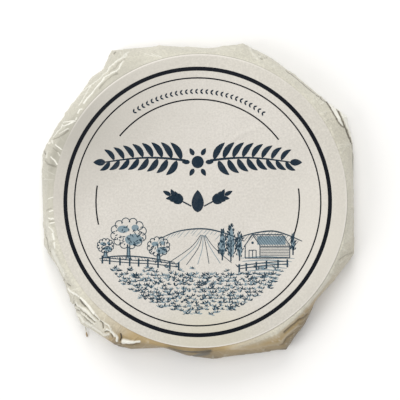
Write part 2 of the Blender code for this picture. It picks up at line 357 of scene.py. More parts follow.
class Finish:
    """A material and the nodes that make it."""

    def __init__(self, name, **constants):
        self.material = bpy.data.materials.new(name)
        self.material.use_nodes = True
        self.tree = self.material.node_tree
        self.shader = self.tree.nodes["Principled BSDF"]
        for label, value in constants.items():
            self.shader.inputs[label.replace("_", " ")].default_value = value

    def add(self, kind, settings=None, sockets=None):
        """Adds a node, sets its settings first, and then fills or links its sockets."""
        node = self.tree.nodes.new(kind)
        for name, setting in (settings or {}).items():
            if name == 'stops':
                self.set_stops(node.color_ramp, setting)
            else:
                setattr(node, name, setting)
        for name, value in (sockets or {}).items():
            value = value.socket if isinstance(value, Value) else value
            if isinstance(value, bpy.types.NodeSocket):
                self.tree.links.new(value, node.inputs[name])
            else:
                node.inputs[name].default_value = value
        return node

    def set_stops(self, ramp, stops):
        while len(ramp.elements) < len(stops):
            ramp.elements.new(0.5)
        for element, (position, level) in zip(ramp.elements, stops):
            element.position = position
            element.color = (level, level, level, 1)

    def noise(self, scale, detail=3, roughness=0.5, stretch=(1, 1, 1), distortion=0):
        """Noise in the piece's own space, stretched along each axis."""
        where = self.add('ShaderNodeTexCoord').outputs['Object']
        place = self.add('ShaderNodeMapping', None, {'Vector': where, 'Scale': stretch}).outputs['Vector']
        node = self.add('ShaderNodeTexNoise', None, {
            'Vector': place, 'Scale': scale, 'Detail': detail, 'Roughness': roughness, 'Distortion': distortion})
        return Value(self, node.outputs['Fac'])

    def ridged(self, scale, distortion):
        """Noise folded about its middle, with sharp crests."""
        level = self.noise(scale, detail=2, distortion=distortion)
        return 1 - 3 * level.math('ABSOLUTE', level - 0.5)

    def distance(self, middle):
        """Distance from a point."""
        where = self.add('ShaderNodeTexCoord').outputs['Object']
        node = self.add('ShaderNodeVectorMath', {'operation': 'DISTANCE'}, {0: where, 1: middle})
        return Value(self, node.outputs['Value'])

    def near(self, x, y, *stops):
        """Level by the distance from a point of the top, with the stops in tenths of a metre."""
        return self.ramp(self.distance((x, y, HEIGHT)) * 10, *stops)

    def stored(self, name):
        node = self.add('ShaderNodeAttribute', {'attribute_type': 'GEOMETRY', 'attribute_name': name})
        return Value(self, node.outputs['Fac'])

    def ramp(self, value, *stops):
        node = self.add('ShaderNodeValToRGB', {'stops': stops}, {'Fac': value})
        return Value(self, node.outputs['Color'])

    def blend(self, share, first, second):
        """Colour between two colours, or between two linked colours."""
        first = (*first, 1) if isinstance(first, tuple) else first
        second = (*second, 1) if isinstance(second, tuple) else second
        node = self.add('ShaderNodeMix', {'data_type': 'RGBA'}, {0: share, 6: first, 7: second})
        return node.outputs[2]

    def grained(self, base, tone, strength):
        """Colour with a fine grain, as much darker as paler than a tone."""
        grain = self.noise(760, detail=2, roughness=0.6)
        for level, *stops in ((0.8, (0.3, 1), (0.5, 0)), (1.2, (0.5, 0), (0.7, 1))):
            base = self.blend(self.ramp(grain, *stops) * strength, base, toned(tone, level))
        return base

    def feed(self, label, value):
        value = value.socket if isinstance(value, Value) else value
        self.tree.links.new(value, self.shader.inputs[label])

    def bump(self, height, depth, strength=1):
        node = self.add('ShaderNodeBump', None, {'Strength': strength, 'Distance': depth, 'Height': height})
        self.feed('Normal', node.outputs['Normal'])


def edge_shown(finish, least):
    """How clearly the label's edge shows, as the painted shadow beside it and its paler rim: it is faint at the lower
    left and the upper right.
    """
    return finish.near(-0.085, -0.03, (0.7, 0.1), (1, 1)) * finish.near(0.078, 0.058, (0.2, least), (0.7, 1))


def waxed_paper_finish(look):
    """Thin waxed paper: mottled, slightly glossy, whiter along its creases, partly as painted highlight, with painted
    brown shade low on the side away from the key light, painted grey shade near the label at the upper left, and
    painted shadow in the grooves and beside the label's edge.
    """
    finish = Finish("waxed_paper_creased", Roughness=0.45, Coat_Weight=0.08, Coat_Roughness=0.3)
    crease = finish.stored("crease")
    damp = finish.stored("damp")
    mottle = finish.noise(55, detail=4, roughness=0.6)
    cloudy = finish.noise(16, detail=2)
    fibres = finish.noise(900, detail=2, roughness=0.7)
    paper, brown = tuple(look.paper), tuple(look.damp)
    share = finish.ramp(mottle * 0.55 + cloudy * 0.45, (0.36, 0), (0.64, 1))
    base = finish.blend(share, toned(paper, 0.88), toned(paper, 1.08))
    base = finish.grained(base, paper, 0.6)
    # Painted grey shade near the label at the upper left
    base = finish.blend((damp * -1).clamped(), base, toned(paper, 0.66))
    # Painted shadow in a thin ring just outside the label's edge
    away = finish.distance((LABEL_X, LABEL_Y, HEIGHT - RIM_SHADOW_DROP)) * (1 / LABEL_RADIUS) - 0.5
    painted_rim_shadow = finish.ramp(away, (0.4975, 0), (0.5, 1), (0.5045, 1), (0.508, 0))
    base = finish.blend(painted_rim_shadow * edge_shown(finish, 0.1) * 0.55, base, toned(paper, 0.5))
    # Painted brown shade low on the side away from the key light, darkest where it is strongest
    mottled_painted_shade = damp * (0.55 + 0.9 * mottle)
    base = finish.blend(mottled_painted_shade.clamped(), base, finish.blend(mottle, brown, toned(brown, 1.35)))
    base = finish.blend((mottled_painted_shade * 1.2 - 1.1).clamped(), base, toned(brown, 0.4))
    # Whitened wax along the ridges, partly painted highlight
    base = finish.blend((crease * (0.75 + 0.5 * mottle)).clamped(), base, tuple(look.crease))
    # Painted shade in the grooves and under edges
    painted_groove_shade = tuple(0.08 * pale + 0.14 * dark for pale, dark in zip(paper, brown))
    base = finish.blend((crease * -1).clamped(), base, painted_groove_shade)
    finish.feed('Base Color', base)
    finish.feed('Roughness', (0.4 + 0.16 * mottle + 0.1 * fibres).clamped())
    crinkle = finish.ridged(120, distortion=1.2)
    fine = finish.ridged(330, distortion=0.8)
    finish.bump(crinkle * 0.6 + fine * 0.25 + mottle * 0.5 + fibres * 0.06, 0.0008, strength=0.5)
    return finish.material


def label_paper_finish(look):
    """Matte uncoated paper with a fine grain, slight blotches, painted soft shade and one painted paler patch, paler
    along its cut rim.
    """
    finish = Finish("label_paper_matte", Roughness=0.62, Coat_Weight=0)
    fibres = finish.noise(1500, detail=3, roughness=0.75, stretch=(1, 0.45, 1))
    cloudy = finish.noise(22, detail=3)
    blotch = finish.noise(140, detail=2)
    paper, margin = tuple(look.paper), tuple(look.margin)
    away = finish.distance((LABEL_X, LABEL_Y, HEIGHT)) * (1 / LABEL_RADIUS) - 0.5
    base = finish.blend(finish.ramp(away, (0.31, 0), (0.43, 1)), paper, margin)
    share = finish.ramp(cloudy * 0.5 + blotch * 0.3 + fibres * 0.2, (0.36, 1), (0.66, 0))
    base = finish.blend(share * 0.5, base, toned(margin, 0.86))
    base = finish.grained(base, margin, 0.42)
    # Painted soft shade, and one painted paler patch at the right
    for x, y, inner, outer, strength, *tint in LABEL_PAINTED_LIGHT:
        shade = finish.near(x, y, (inner, 1), (outer, 0))
        base = finish.blend(shade * strength, base, toned(margin, *tint))
    rim = finish.ramp(away, (0.4905, 0), (0.4935, 1)) * edge_shown(finish, 0.3)
    finish.feed('Base Color', finish.blend(rim * 0.8, base, toned(paper, 1.22)))
    finish.feed('Roughness', (0.54 + 0.14 * blotch).clamped())
    finish.bump(blotch * 0.7 + fibres * 0.45 + cloudy * 0.8, 0.0003, strength=0.8)
    return finish.material


def ink_finish(name, colour, thin):
    """Printed ink, slightly uneven where the paper's fibres take less of it."""
    finish = Finish(name, Roughness=0.6, Specular_IOR_Level=0.12)
    fibres = finish.noise(1300, detail=3, roughness=0.7)
    patchy = finish.noise(180, detail=2)
    worn = finish.ramp(fibres * 0.6 + patchy * 0.4, (0.48, 0), (0.75, 1)) * thin
    pale = tuple(level + (0.45 - level) * 0.3 for level in colour)
    finish.feed('Base Color', finish.blend(worn, tuple(colour), pale))
    finish.feed('Roughness', (0.5 + 0.2 * patchy).clamped())
    finish.bump(fibres, 0.00005, strength=0.3)
    return finish.material


def drip_finish():
    """Dried brown end of a shred of paper."""
    finish = Finish("dried_brown_wax", Roughness=0.45)
    where = finish.noise(700, detail=2)
    finish.feed('Base Color', finish.blend(where, linear(196, 176, 140), linear(122, 88, 52)))
    finish.feed('Roughness', (0.35 + 0.2 * where).clamped())
    return finish.material


def floor_finish(look):
    """Plain matte floor, very slightly uneven."""
    finish = Finish("plain_floor", Roughness=0.85)
    soft = finish.noise(3, detail=1)
    floor = tuple(look.floor)
    finish.feed('Base Color', finish.blend(soft, toned(floor, 0.985), floor))
    return finish.material


# Meshes


def new_piece(name, bm, finish):
    """Turns a bmesh into an object of the scene."""
    mesh = bpy.data.meshes.new(name)
    bm.to_mesh(mesh)
    bm.free()
    mesh.materials.append(finish)
    mesh.shade_smooth()
    piece = bpy.data.objects.new(name, mesh)
    bpy.context.scene.collection.objects.link(piece)
    return piece


def finished(name, bm, finish, slot, *replaces):
    """Turns a bmesh into a piece that rides on the cheese."""
    piece = new_piece(name, bm, finish)
    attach(piece, "root")
    if replaces:
        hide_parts(*replaces)
    return piece


def bent_grid(columns, rows, shape, stored=()):
    """Grid of faces bent round the upright axis, closed along its seam and at both its ends.

    shape takes the turn and the row of every point, each from 0 to 1, and returns the points and
    the values that are stored with them.
    """
    bm = bmesh.new()
    bmesh.ops.create_grid(bm, x_segments=columns, y_segments=rows, size=0.5)
    turn = np.array([vert.co.x for vert in bm.verts]) + 0.5
    row = np.array([vert.co.y for vert in bm.verts]) + 0.5
    points, values = shape(np.clip(turn, 0, 1), np.clip(row, 0, 1))
    layers = [bm.verts.layers.float.new(name) for name in stored]
    for index, vert in enumerate(bm.verts):
        vert.co = points[index]
        for layer, value in zip(layers, values):
            vert[layer] = value[index]
    seam = [vert for vert in bm.verts if vert.is_boundary]
    bmesh.ops.remove_doubles(bm, verts=seam, dist=1e-7)
    bmesh.ops.holes_fill(bm, edges=[edge for edge in bm.edges if edge.is_boundary], sides=0)
    bmesh.ops.recalc_face_normals(bm, faces=bm.faces)
    return bm


def through(rows, place):
    """Smooth curve through the rows of a table, read at places counted in rows."""
    rows = np.asarray(rows, float)
    last = len(rows) - 1
    index = np.clip(place.astype(int), 0, last - 1)
    part = (place - index)[:, None]
    before, start = rows[np.clip(index - 1, 0, last)], rows[index]
    end, after = rows[index + 1], rows[np.clip(index + 2, 0, last)]
    return 0.5 * (
        2 * start + (end - before) * part + (2 * before - 5 * start + 4 * end - after) * part ** 2
        + (3 * start - before - 3 * end + after) * part ** 3)


def point_along(points, share):
    """Point of the smooth curve through some points, at a share of the way along it."""
    return through(points, np.array([share * (len(points) - 1)]))[0]


def total_length(points):
    """Length of the straight runs from each point to the next."""
    return sum(math.dist(a, b) for a, b in zip(points, points[1:]))


def polar(x, y, far, degrees):
    """Point at a distance from another, in a direction."""
    angle = math.radians(degrees)
    return x + far * math.cos(angle), y + far * math.sin(angle)


def tent(value, width):
    """1 at nought, and falling evenly to 0 at a width to either side."""
    return np.clip(1 - np.abs(value) / width, 0, 1)


def distance_to_line(x, y, points):
    """Distance of many points from a line of straight runs, all in millimetres."""
    nearest = np.full(len(x), 1e6)
    for (x0, y0), (x1, y1) in zip(points, points[1:]):
        run_x, run_y = x1 - x0, y1 - y0
        along = np.clip(((x - x0) * run_x + (y - y0) * run_y) / (run_x ** 2 + run_y ** 2), 0, 1)
        nearest = np.minimum(nearest, np.hypot(x - x0 - along * run_x, y - y0 - along * run_y))
    return nearest


def ramp_up(value, low, high):
    """0 below low, 1 above high, and smooth between them."""
    share = np.clip((value - low) / (high - low), 0, 1)
    return share * share * (3 - 2 * share)


def paper_reach(angle):
    """Distance from the middle to the paper, taut between one pleat tip and the next."""
    tips = np.radians([degrees for degrees, _ in PLEAT_TIPS])
    reach = np.array([far for _, far in PLEAT_TIPS])
    tips = np.append(tips, tips[0] + math.tau)
    reach = np.append(reach, reach[0])
    angle = np.where(angle < tips[0], angle + math.tau, angle)
    index = np.clip(np.searchsorted(tips, angle, side='right') - 1, 0, len(PLEAT_TIPS) - 1)
    start, end, near, far = tips[index], tips[index + 1], reach[index], reach[index + 1]
    return near * far * np.sin(end - start) / (near * np.sin(angle - start) + far * np.sin(end - angle))


def top_height(radius):
    """Height of the wrapped cheese's top at a radius."""
    share = np.maximum(0, radius - FLAT_RADIUS) / (SHOULDER_RADIUS - FLAT_RADIUS)
    return HEIGHT - SHOULDER_DROP * share * share


def scattered(number):
    """Number from 0 to 1 for a whole number, with no order to it but the same each time."""
    return np.sin(number * 12.9898) * 43758.5 % 1


def fold_place(angle):
    """Place among the folds round the cheese, counted in folds."""
    return (angle + 0.05 * np.sin(5 * angle + 1)) / math.tau * FOLDS


def bunching(angle):
    """How tightly the paper is gathered at an angle: 1 at a pleat's tip, less between tips."""
    gathered = np.zeros(len(angle))
    for degrees, far in PLEAT_TIPS:
        off = np.abs((angle - math.radians(degrees) + math.pi) % math.tau - math.pi)
        sharp = min(1, max(0.2, (far - SIDE_RADIUS) / 0.012))
        gathered = np.maximum(gathered, sharp * np.exp(-(off / math.radians(4.5)) ** 2))
    degrees = np.degrees(angle)
    for start, end, _, _ in LAYERED_FOLDS:
        inside = ramp_up(degrees, start - 4, start + 4) * (1 - ramp_up(degrees, end - 4, end + 4))
        gathered = np.maximum(gathered, 0.8 * inside)
    return gathered


def profile_rows():
    """Rows of the profile: radius, height, share of a pleat's reach, share of the folds."""
    return [(radius, float(top_height(radius)) if share is None else share * HEIGHT, reach, folds)
            for radius, share, reach, folds, _ in PROFILE]


def wrapper_form(angle, place):
    """Radius and height of the smooth paper at an angle and a place down the profile."""
    radius, height, reach, folds = through(profile_rows(), place).T
    out = radius + reach * np.maximum(0, paper_reach(angle) - SIDE_RADIUS)
    return out, height, folds


def as_seen(out, height):
    """Distance from the middle, in millimetres, at which paper of a radius and height shows from above."""
    return out / MM * (1 - (HEIGHT - height) / VIEW_DISTANCE)


def down_the_paper(place):
    """Length of paper from the shoulder to a place down the profile, in millimetres."""
    points = [(radius + reach * USUAL_REACH, height) for radius, height, reach, _ in profile_rows()]
    lengths = np.cumsum([0] + [math.dist(a, b) for a, b in zip(points, points[1:])]) / MM
    return np.interp(place, np.arange(len(PROFILE)), lengths)


def on_the_paper(points):
    """Points given by angle and distance seen from above, moved to turn and length down the paper."""
    places = np.linspace(1, SIDE_END, 200)
    moved = []
    for degrees, seen in points:
        angle = math.radians(degrees)
        out, height, _ = wrapper_form(np.full(len(places), angle), places)
        reached = np.maximum.accumulate(as_seen(out, height))
        index = min(len(places) - 1, int(np.searchsorted(reached, seen)))
        moved.append((angle * TURN_LENGTH, float(down_the_paper(places[index])) * DOWN_WEIGHT))
    return moved


def round_from(turn, middle):
    """Lengths round the paper, measured from near a middle so that none crosses the seam."""
    whole = math.tau * TURN_LENGTH
    return (turn - middle + whole / 2) % whole - whole / 2 + middle


def add_creases(relief, whitening_and_painted_shade, turn, down):
    """Adds the listed ridges and grooves: whitens the ridges, as whitened wax and partly painted highlight, and
    darkens the grooves with painted shade; broad entries paint paler and darker places as painted light and shade.
    """
    for rise, half_width, tone_shift, *points in CREASES:
        line = on_the_paper(zip(points[::2], points[1::2]))
        around = round_from(turn, line[0][0])
        away = distance_to_line(around, down, line)
        near = tent(away, 0.5 * half_width)
        apron = tent(away, half_width * 2.4) ** 2
        relief += rise * MM * (0.7 * near + 0.35 * apron)
        # Ridges whiten, partly as painted highlight; grooves take painted shade
        whitening_and_painted_shade += (tone_shift - whitening_and_painted_shade) * ramp_up(near, 0, 0.6)


def add_random_folds(relief, whitening_and_painted_shade, turn, down, allowed, gathered, depth):
    """Adds short folds, each with one broad and one steep face, thickest where the paper is gathered."""
    chance = random.Random(11)
    whole = math.tau * TURN_LENGTH
    for _ in range(FOLDS_AT_RANDOM):
        middle, start = chance.uniform(0, whole), chance.uniform(1, 20)
        length, slant = chance.uniform(4, 15), chance.uniform(-0.9, 0.9)
        broad, steep = chance.uniform(1, 5), chance.uniform(0.45, 0.8)
        rise, tone_shift = chance.uniform(0.2, 1), chance.uniform(0, 0.6)
        facing = chance.choice((-1, 1))
        around = round_from(turn, middle) - middle
        beside = np.flatnonzero(np.abs(around) < length + broad)
        local, below = around[beside], down[beside] - start
        along = local * math.sin(slant) + below * math.cos(slant)
        across = facing * (local * math.cos(slant) - below * math.sin(slant))
        fade = np.sin(math.pi * np.clip(along / length, 0, 1)) ** 0.7 * allowed[beside]
        fade *= 0.3 + 0.7 * gathered[beside]
        relief[beside] += depth * rise * tent(across, np.where(across < 0, broad, steep)) * fade
        whitening_and_painted_shade[beside] = np.maximum(whitening_and_painted_shade[beside], tone_shift * tent(across, 0.4) * fade)


def add_steps(relief, whitening_and_painted_shade, angle, seen, side, allowed):
    """Lowers and whitens the paper that shows beyond the edge of an upper sheet, the whitening a painted highlight,
    and paints a shadow line along the edge.
    """
    degrees = np.degrees(angle)
    for depth, *edge in STEPS:
        across, reach = edge[::2], edge[1::2]
        beyond = seen - np.interp(degrees, across, reach)
        shown = np.where((degrees > across[0]) & (degrees < across[-1]), allowed, 0)
        lip = tent(beyond, 0.9) * (beyond < 0)
        hollow = tent(beyond - 0.7, 0.8)
        relief += MM * depth * (0.7 * lip - hollow) * shown
        # Paper beyond the edge whitened as a painted highlight
        whitening_and_painted_shade += (1 - whitening_and_painted_shade) * ramp_up(beyond, -0.3, 0.3) * (1 - ramp_up(side, 0.62, 0.95)) * shown
        # Painted shadow line along the edge
        line = np.clip(1.6 - np.abs(beyond + 0.25) / 0.45, 0, 1)
        whitening_and_painted_shade += (-1 - whitening_and_painted_shade) * line * (1 - ramp_up(side, 0.6, 0.7)) * shown


def wrapper_shape(look):
    """The paper round the cheese: its form, pleats, layered folds, creases and steps."""
    steps = np.cumsum([0] + [row[4] for row in PROFILE[:-1]])

    def shape(turn, row):
        angle = np.radians(np.interp(turn % 1, *zip(*COLUMN_SHARES)))
        place = np.interp(row * steps[-1], steps, np.arange(len(PROFILE)))
        out, height, folds = wrapper_form(angle, place)
        ahead = wrapper_form(angle, np.minimum(place + 0.05, len(PROFILE) - 1))
        behind = wrapper_form(angle, np.maximum(place - 0.05, 0))
        run_out, run_up = ahead[0] - behind[0], ahead[1] - behind[1]
        size = np.maximum(np.hypot(run_out, run_up), 1e-9)
        face_out, face_up = -run_up / size, run_out / size

        side = (place - SIDE_START) / (SIDE_END - SIDE_START)
        on_side = ramp_up(side, -0.1, 0.35) * (1 - ramp_up(side, 1, 1.25))
        past_label = np.hypot(out * np.cos(angle) - LABEL_X, out * np.sin(angle) - LABEL_Y) - LABEL_RADIUS
        allowed = ramp_up(past_label, 0.0001, 0.0014) * (1 - ramp_up(side, 1, 1.25))
        gathered = bunching(angle)

        slant = 0.9 * np.clip(side, 0, 1) * np.sin(3 * angle + 0.6)
        pleat = fold_place(angle) + slant
        depth = 0.35 + 0.65 * scattered(np.floor(pleat))
        relief = look.pleat_depth * on_side * depth * (pleat % 1) ** 2
        whitening_and_painted_shade = 0.25 * on_side * ramp_up(pleat % 1, 0.93, 1) * depth

        degrees = np.degrees(angle)
        for start, end, count, layer in LAYERED_FOLDS:
            fade = np.sin(math.pi * np.clip((degrees - start) / (end - start), 0, 1))
            lip = (np.clip(side, 0, 0.999) * count) % 1
            relief += layer * fade * (lip - 0.5) * ramp_up(side, 0, 0.05) * (1 - ramp_up(side, 0.98, 1.1))
            whitening_and_painted_shade = np.maximum(whitening_and_painted_shade, 0.4 * fade * ramp_up(lip, 0.85, 1) * on_side)

        around, down = angle * TURN_LENGTH, down_the_paper(place) * DOWN_WEIGHT
        add_random_folds(relief, whitening_and_painted_shade, around, down, allowed, gathered, look.crumple_depth)
        add_creases(relief, whitening_and_painted_shade, around, down)
        add_steps(relief, whitening_and_painted_shade, angle, as_seen(out, height), side, allowed)

        relief *= allowed
        out = out + relief * face_out
        fold = fold_place(angle) % 1
        rise = look.fold_depth * folds * np.where(fold < 0.5, 0, np.minimum(1, 2 - 2 * fold))
        up = np.maximum(0, height + relief * face_up + rise)
        # Painted shade: brown low on the side away from the key light, grey near the label at the upper left
        turns, near_label, at_foot = zip(*PAINTED_SIDE_SHADE)
        near_label, at_foot = np.interp(degrees, turns, near_label), np.interp(degrees, turns, at_foot)
        below = np.sqrt(np.clip(side * 1.4, 0, 1))
        damp = (near_label + (at_foot - near_label) * below) * (1 - 0.7 * ramp_up(side, 1.2, 2.2))
        points = np.stack([out * np.cos(angle), out * np.sin(angle), up], axis=1)
        return points, (np.clip(whitening_and_painted_shade, -1, 1), damp)

    return shape


def label_wave(x, y, look):
    """Waves and the one short crease of the label, as height over its even form."""
    across, up = x / MM, y / MM
    wave = (
        np.sin(across * 0.115 + 1.9 * np.sin(up * 0.043 + 0.5)) + 0.8 * np.sin(up * 0.092 + across * 0.037 + 2.1)
        + 0.5 * np.sin(across * 0.21 - up * 0.17 + 0.4))
    crease = tent(distance_to_line(across, up, LABEL_CREASE), LABEL_CREASE_WIDTH)
    dent = np.exp(-(((across - 24.5) / 5) ** 2 + ((up - 39) / 4) ** 2))
    return look.wave * (wave * 0.5 + 0.9) + 0.00045 * crease ** 1.5 - 0.0003 * dent


def label_top(x, y, look):
    """Height of the label's upper face."""
    radius = np.hypot(x, y)
    return top_height(radius) + LABEL_LIFT + look.thickness + label_wave(x, y, look) * (
        1 - ramp_up(radius, 0.087, 0.095))


def label_shape(look):
    """Closed disc: over the top from the middle, round the rim and back below."""
    def shape(turn, row):
        angle = (turn % 1) * math.tau
        rows, bevel, hole = (0, 0.84, 0.86, 0.88, 0.9, 1), LABEL_RADIUS - 0.0001, 0.0008
        radius = np.interp(row, rows, (hole, bevel, LABEL_RADIUS, LABEL_RADIUS, bevel, hole))
        under = np.interp(row, rows, (0, 0, 0.15, 0.85, 1, 1))
        x, y = LABEL_X + radius * np.cos(angle), LABEL_Y + radius * np.sin(angle)
        up = label_top(x, y, look) - look.thickness * under
        return np.stack([x, y, up], axis=1), ()

    return shape


# Print


class Print:
    """Flat printed shapes, drawn in millimetres and then laid on the label."""

    def __init__(self, seed):
        self.bm = bmesh.new()
        self.random = random.Random(seed)

    def band(self, along, steps):
        """Strip of faces: along(share) gives the middle line's x and y and the half width."""
        made = bmesh.ops.create_grid(self.bm, x_segments=steps, y_segments=1, size=0.5)["verts"]
        for vert in made:
            share = min(1, max(0, vert.co.x + 0.5))
            x, y, half = along(share)
            ahead, behind = along(min(1, share + 1e-3)), along(max(0, share - 1e-3))
            run_x, run_y = ahead[0] - behind[0], ahead[1] - behind[1]
            size = math.hypot(run_x, run_y) or 1
            side = half if vert.co.y > 0 else -half
            vert.co = (x - run_y / size * side, y + run_x / size * side, 0)

    def arc(self, radius, width, start=0, end=360, x=0, y=0, steps=None):
        """Part of a ring, from one angle in degrees to another."""
        steps = steps or max(6, int(abs(end - start) * max(0.35, radius / 90)))

        def along(share):
            return (*polar(x, y, radius, start + (end - start) * share), width / 2)

        self.band(along, steps)

    def line(self, points, width, taper=0, steps_each=2):
        """Smooth stroke through a few points, thinner towards its ends by the taper."""
        def along(share):
            slim = 1 - taper * (2 * share - 1) ** 2
            return (*point_along(points, share), max(0.05, width / 2 * slim))

        self.band(along, max(1, steps_each * (len(points) - 1)))

    def leaf(self, x, y, length, width, turn, bend=0, steps=8):
        """Pointed leaf from its stalk at x, y, turned by an angle in degrees."""
        facing = math.radians(turn)

        def along(share):
            curve = bend * math.sin(math.pi * share)
            over = share * length
            half = width / 2 * math.sin(math.pi * min(1, share ** 0.8)) ** 0.75
            return (
                x + over * math.cos(facing) - curve * math.sin(facing),
                y + over * math.sin(facing) + curve * math.cos(facing), max(0.03, half))

        self.band(along, steps)

    def spot(self, x, y, length, width, turn=0, corners=6):
        """Small filled oval."""
        place = Matrix.Translation((x, y, 0)) @ Matrix.Rotation(math.radians(turn), 4, 'Z')
        bmesh.ops.create_circle(
            self.bm, cap_ends=True, segments=corners, radius=0.5,
            matrix=place @ Matrix.Diagonal((length, width, 1, 1)))

    def lay(self, name, finish, look, lift=0):
        """Gives the shapes their thickness and lays them on the label."""
        bm = self.bm
        bmesh.ops.remove_doubles(bm, verts=bm.verts, dist=1e-4)
        bmesh.ops.scale(bm, vec=(MM, MM * PRINT_STRETCH, MM), verts=bm.verts)
        bmesh.ops.recalc_face_normals(bm, faces=bm.faces)
        for face in bm.faces:
            if face.normal.z < 0:
                face.normal_flip()
        made = bmesh.ops.extrude_face_region(bm, geom=list(bm.faces))["geom"]
        above = {item for item in made if isinstance(item, bmesh.types.BMVert)}
        x = np.array([vert.co.x for vert in bm.verts])
        y = np.array([vert.co.y for vert in bm.verts])
        level = label_top(x, y, look) + INK_LIFT + lift
        for vert, height in zip(bm.verts, level):
            vert.co.z = height + (look.ink_height if vert in above else 0)
        bmesh.ops.recalc_face_normals(bm, faces=bm.faces)
        piece = finished(name, bm, finish, "label_paper")
        piece.data.shade_flat()
        return piece


def laurel(ink, side):
    """Half of the long leafy branch across the label, to the left or the right of its middle."""
    def stem(share):
        return side * (8 + 53 * share), 25.8 + 2.6 * math.sin(3 * share + 0.3), 0.8 - 0.4 * share

    ink.band(stem, 40)
    facing = 0 if side > 0 else 180
    for index in range(8):
        share = 0.05 + index * 0.118
        x, y, _ = stem(share)
        length, width = 13 - 0.5 * index, 4.2 - 0.15 * index
        ink.leaf(x, y + 0.4, length, width, facing + side * (57 - 1.5 * index), bend=side * 1.2, steps=14)
        ink.leaf(x + side * 3, y - 0.4, length * 0.9, width, facing - side * (53 - 1.5 * index),
                 bend=-side * 1.2, steps=14)
    x, y, _ = stem(1)
    ink.leaf(x - side, y, 8, 4.4, facing, steps=12)


def wheat_ear(ink, x, y, turn, grains, size):
    """Short ear of wheat: pairs of grains along a stalk."""
    for index in range(grains):
        place = polar(x, y, size * (0.3 + 0.62 * index), turn)
        for spread in (-36, 36):
            ink.leaf(*place, size * 1.3, size * 0.62, turn + spread)
    tip = polar(x, y, size * (0.3 + 0.62 * grains), turn)
    ink.leaf(*tip, size * 1.3, size * 0.6, turn)
    ink.line((polar(x, y, -size * 1.1, turn), tip), size * 0.2)


def round_tree(ink, shade, x, y, size):
    """Tree with a scalloped crown, a short trunk and leaf shading on its darker side."""
    for index in range(12):
        angle = math.tau * index / 12 + 0.2
        ink.arc(size * 0.22, 0.55, math.degrees(angle) - 105, math.degrees(angle) + 105,
                x + size * 0.76 * math.cos(angle), y + size * 0.62 * math.sin(angle), steps=10)
    for left, low, wide, high in ((0.28, -0.34, 0.95, 0.62), (-0.3, 0.22, 0.62, 0.4), (0.36, 0.3, 0.4, 0.34)):
        shade.spot(x + left * size, y + low * size, wide * size, high * size, corners=18)
    for _ in range(int(size * 6)):
        angle, far = ink.random.uniform(0, math.tau), math.sqrt(ink.random.random()) * size * 0.8
        px, py = x + far * math.cos(angle), y + 0.8 * far * math.sin(angle)
        if (px - x) * 0.5 - (py - y) > ink.random.uniform(-0.7, 0.5) * size:
            ink.leaf(px, py, ink.random.uniform(1.6, 2.6), 0.75, ink.random.uniform(0, 360), steps=3)
    foot = y - size * 1.4
    for lean in (-1, 1):
        ink.line(((x + lean * 0.8, y - size * 0.6), (x + lean, foot + 1.6), (x + lean * 2.2, foot)), 0.7)
    shade.line(((x, y - size * 0.7), (x, foot + 0.4)), 1.6)


def poplar(ink, shade, x, y, height):
    """Tall narrow tree of many upright leaves."""
    shade.leaf(x, y, height * 1.02, height * 0.22, 90, steps=10)
    for _ in range(int(height * 3.2)):
        up = ink.random.random()
        half = height * 0.15 * math.sin(math.pi * min(1, 0.12 + up * 0.88)) ** 0.7
        off = ink.random.uniform(-1, 1)
        ink.leaf(x + off * half, y + up * height, 2, 0.8, 90 - off * 28 + ink.random.uniform(-9, 9), steps=3)
    ink.line(((x, y - 2), (x, y + height * 0.3)), 0.9)


def barn(ink, shade, x, y, size):
    """Gabled barn seen from one corner, with a plank door and a hatched long side."""
    corner, end, far = x, x - 0.62 * size, x + 1.25 * size
    eave, ridge = y + 0.52 * size, y + 0.98 * size
    peak, fall = (corner + end) / 2, far - 0.31 * size
    for points in (
            ((corner, y), (corner, eave)), ((end, y), (end, eave)), ((end, y), (corner, y)),
            ((end - 0.8, eave - 0.8), (peak, ridge)), ((corner + 0.5, eave - 0.5), (peak, ridge)),
            ((peak, ridge), (fall, ridge)), ((fall, ridge), (far + 0.4, eave - 0.4)),
            ((corner + 0.5, eave - 0.5), (far + 0.4, eave - 0.4)), ((far, y), (far, eave)), ((corner, y), (far, y))):
        ink.line(points, 0.62)
    door = 0.15 * size
    lintel = y + 2.2 * door
    for x0, y0, x1, y1 in (
            (peak - door, y, peak - door, lintel), (peak + door, y, peak + door, lintel),
            (peak - door, lintel, peak + door, lintel), (peak, y, peak, lintel)):
        ink.line(((x0, y0), (x1, y1)), 0.55)
    ink.spot(peak, eave + 0.12 * size, 1.8, 1.8, corners=8)
    middle = (eave + ridge) / 2 - 0.2
    shade.line((((peak + corner) / 2 + 0.6, middle), ((fall + far) / 2 - 0.3, middle)), 0.36 * size)
    for index in range(11):
        share = (index + 0.7) / 11.4
        top, low = peak + share * (fall - peak), corner + 0.5 + share * (far - corner - 0.1)
        ink.line(((top, ridge - 0.4), (low, eave - 0.1)), 0.26)
    for index in range(7):
        level = y + (index + 0.6) / 7.4 * (eave - y - 0.5)
        ink.line(((corner + 0.4, level), (far - 0.4, level)), 0.35)


def fence(ink, points, spacing):
    """Two rails and their posts along a few points."""
    for lift in (1.2, 3):
        ink.line([(x, y + lift) for x, y in points], 0.6, steps_each=5)
    length = total_length(points)
    for index in range(int(length / spacing) + 1):
        x, y = point_along(points, index * spacing / length)
        ink.line(((x, y - 1), (x, y + 4.2)), 1.1)


def hatch(ink, points, low, slope, spacing, width):
    """Short strokes hanging from a hill's line."""
    length = total_length(points)
    for index in range(int(length / spacing)):
        x, y = point_along(points, (index + ink.random.uniform(0.2, 0.8)) * spacing / length)
        far = low * ink.random.uniform(0.5, 1.2)
        ink.line(((x, y - 0.4), (x + slope * far, y - 0.4 - far)), width, taper=0.6)


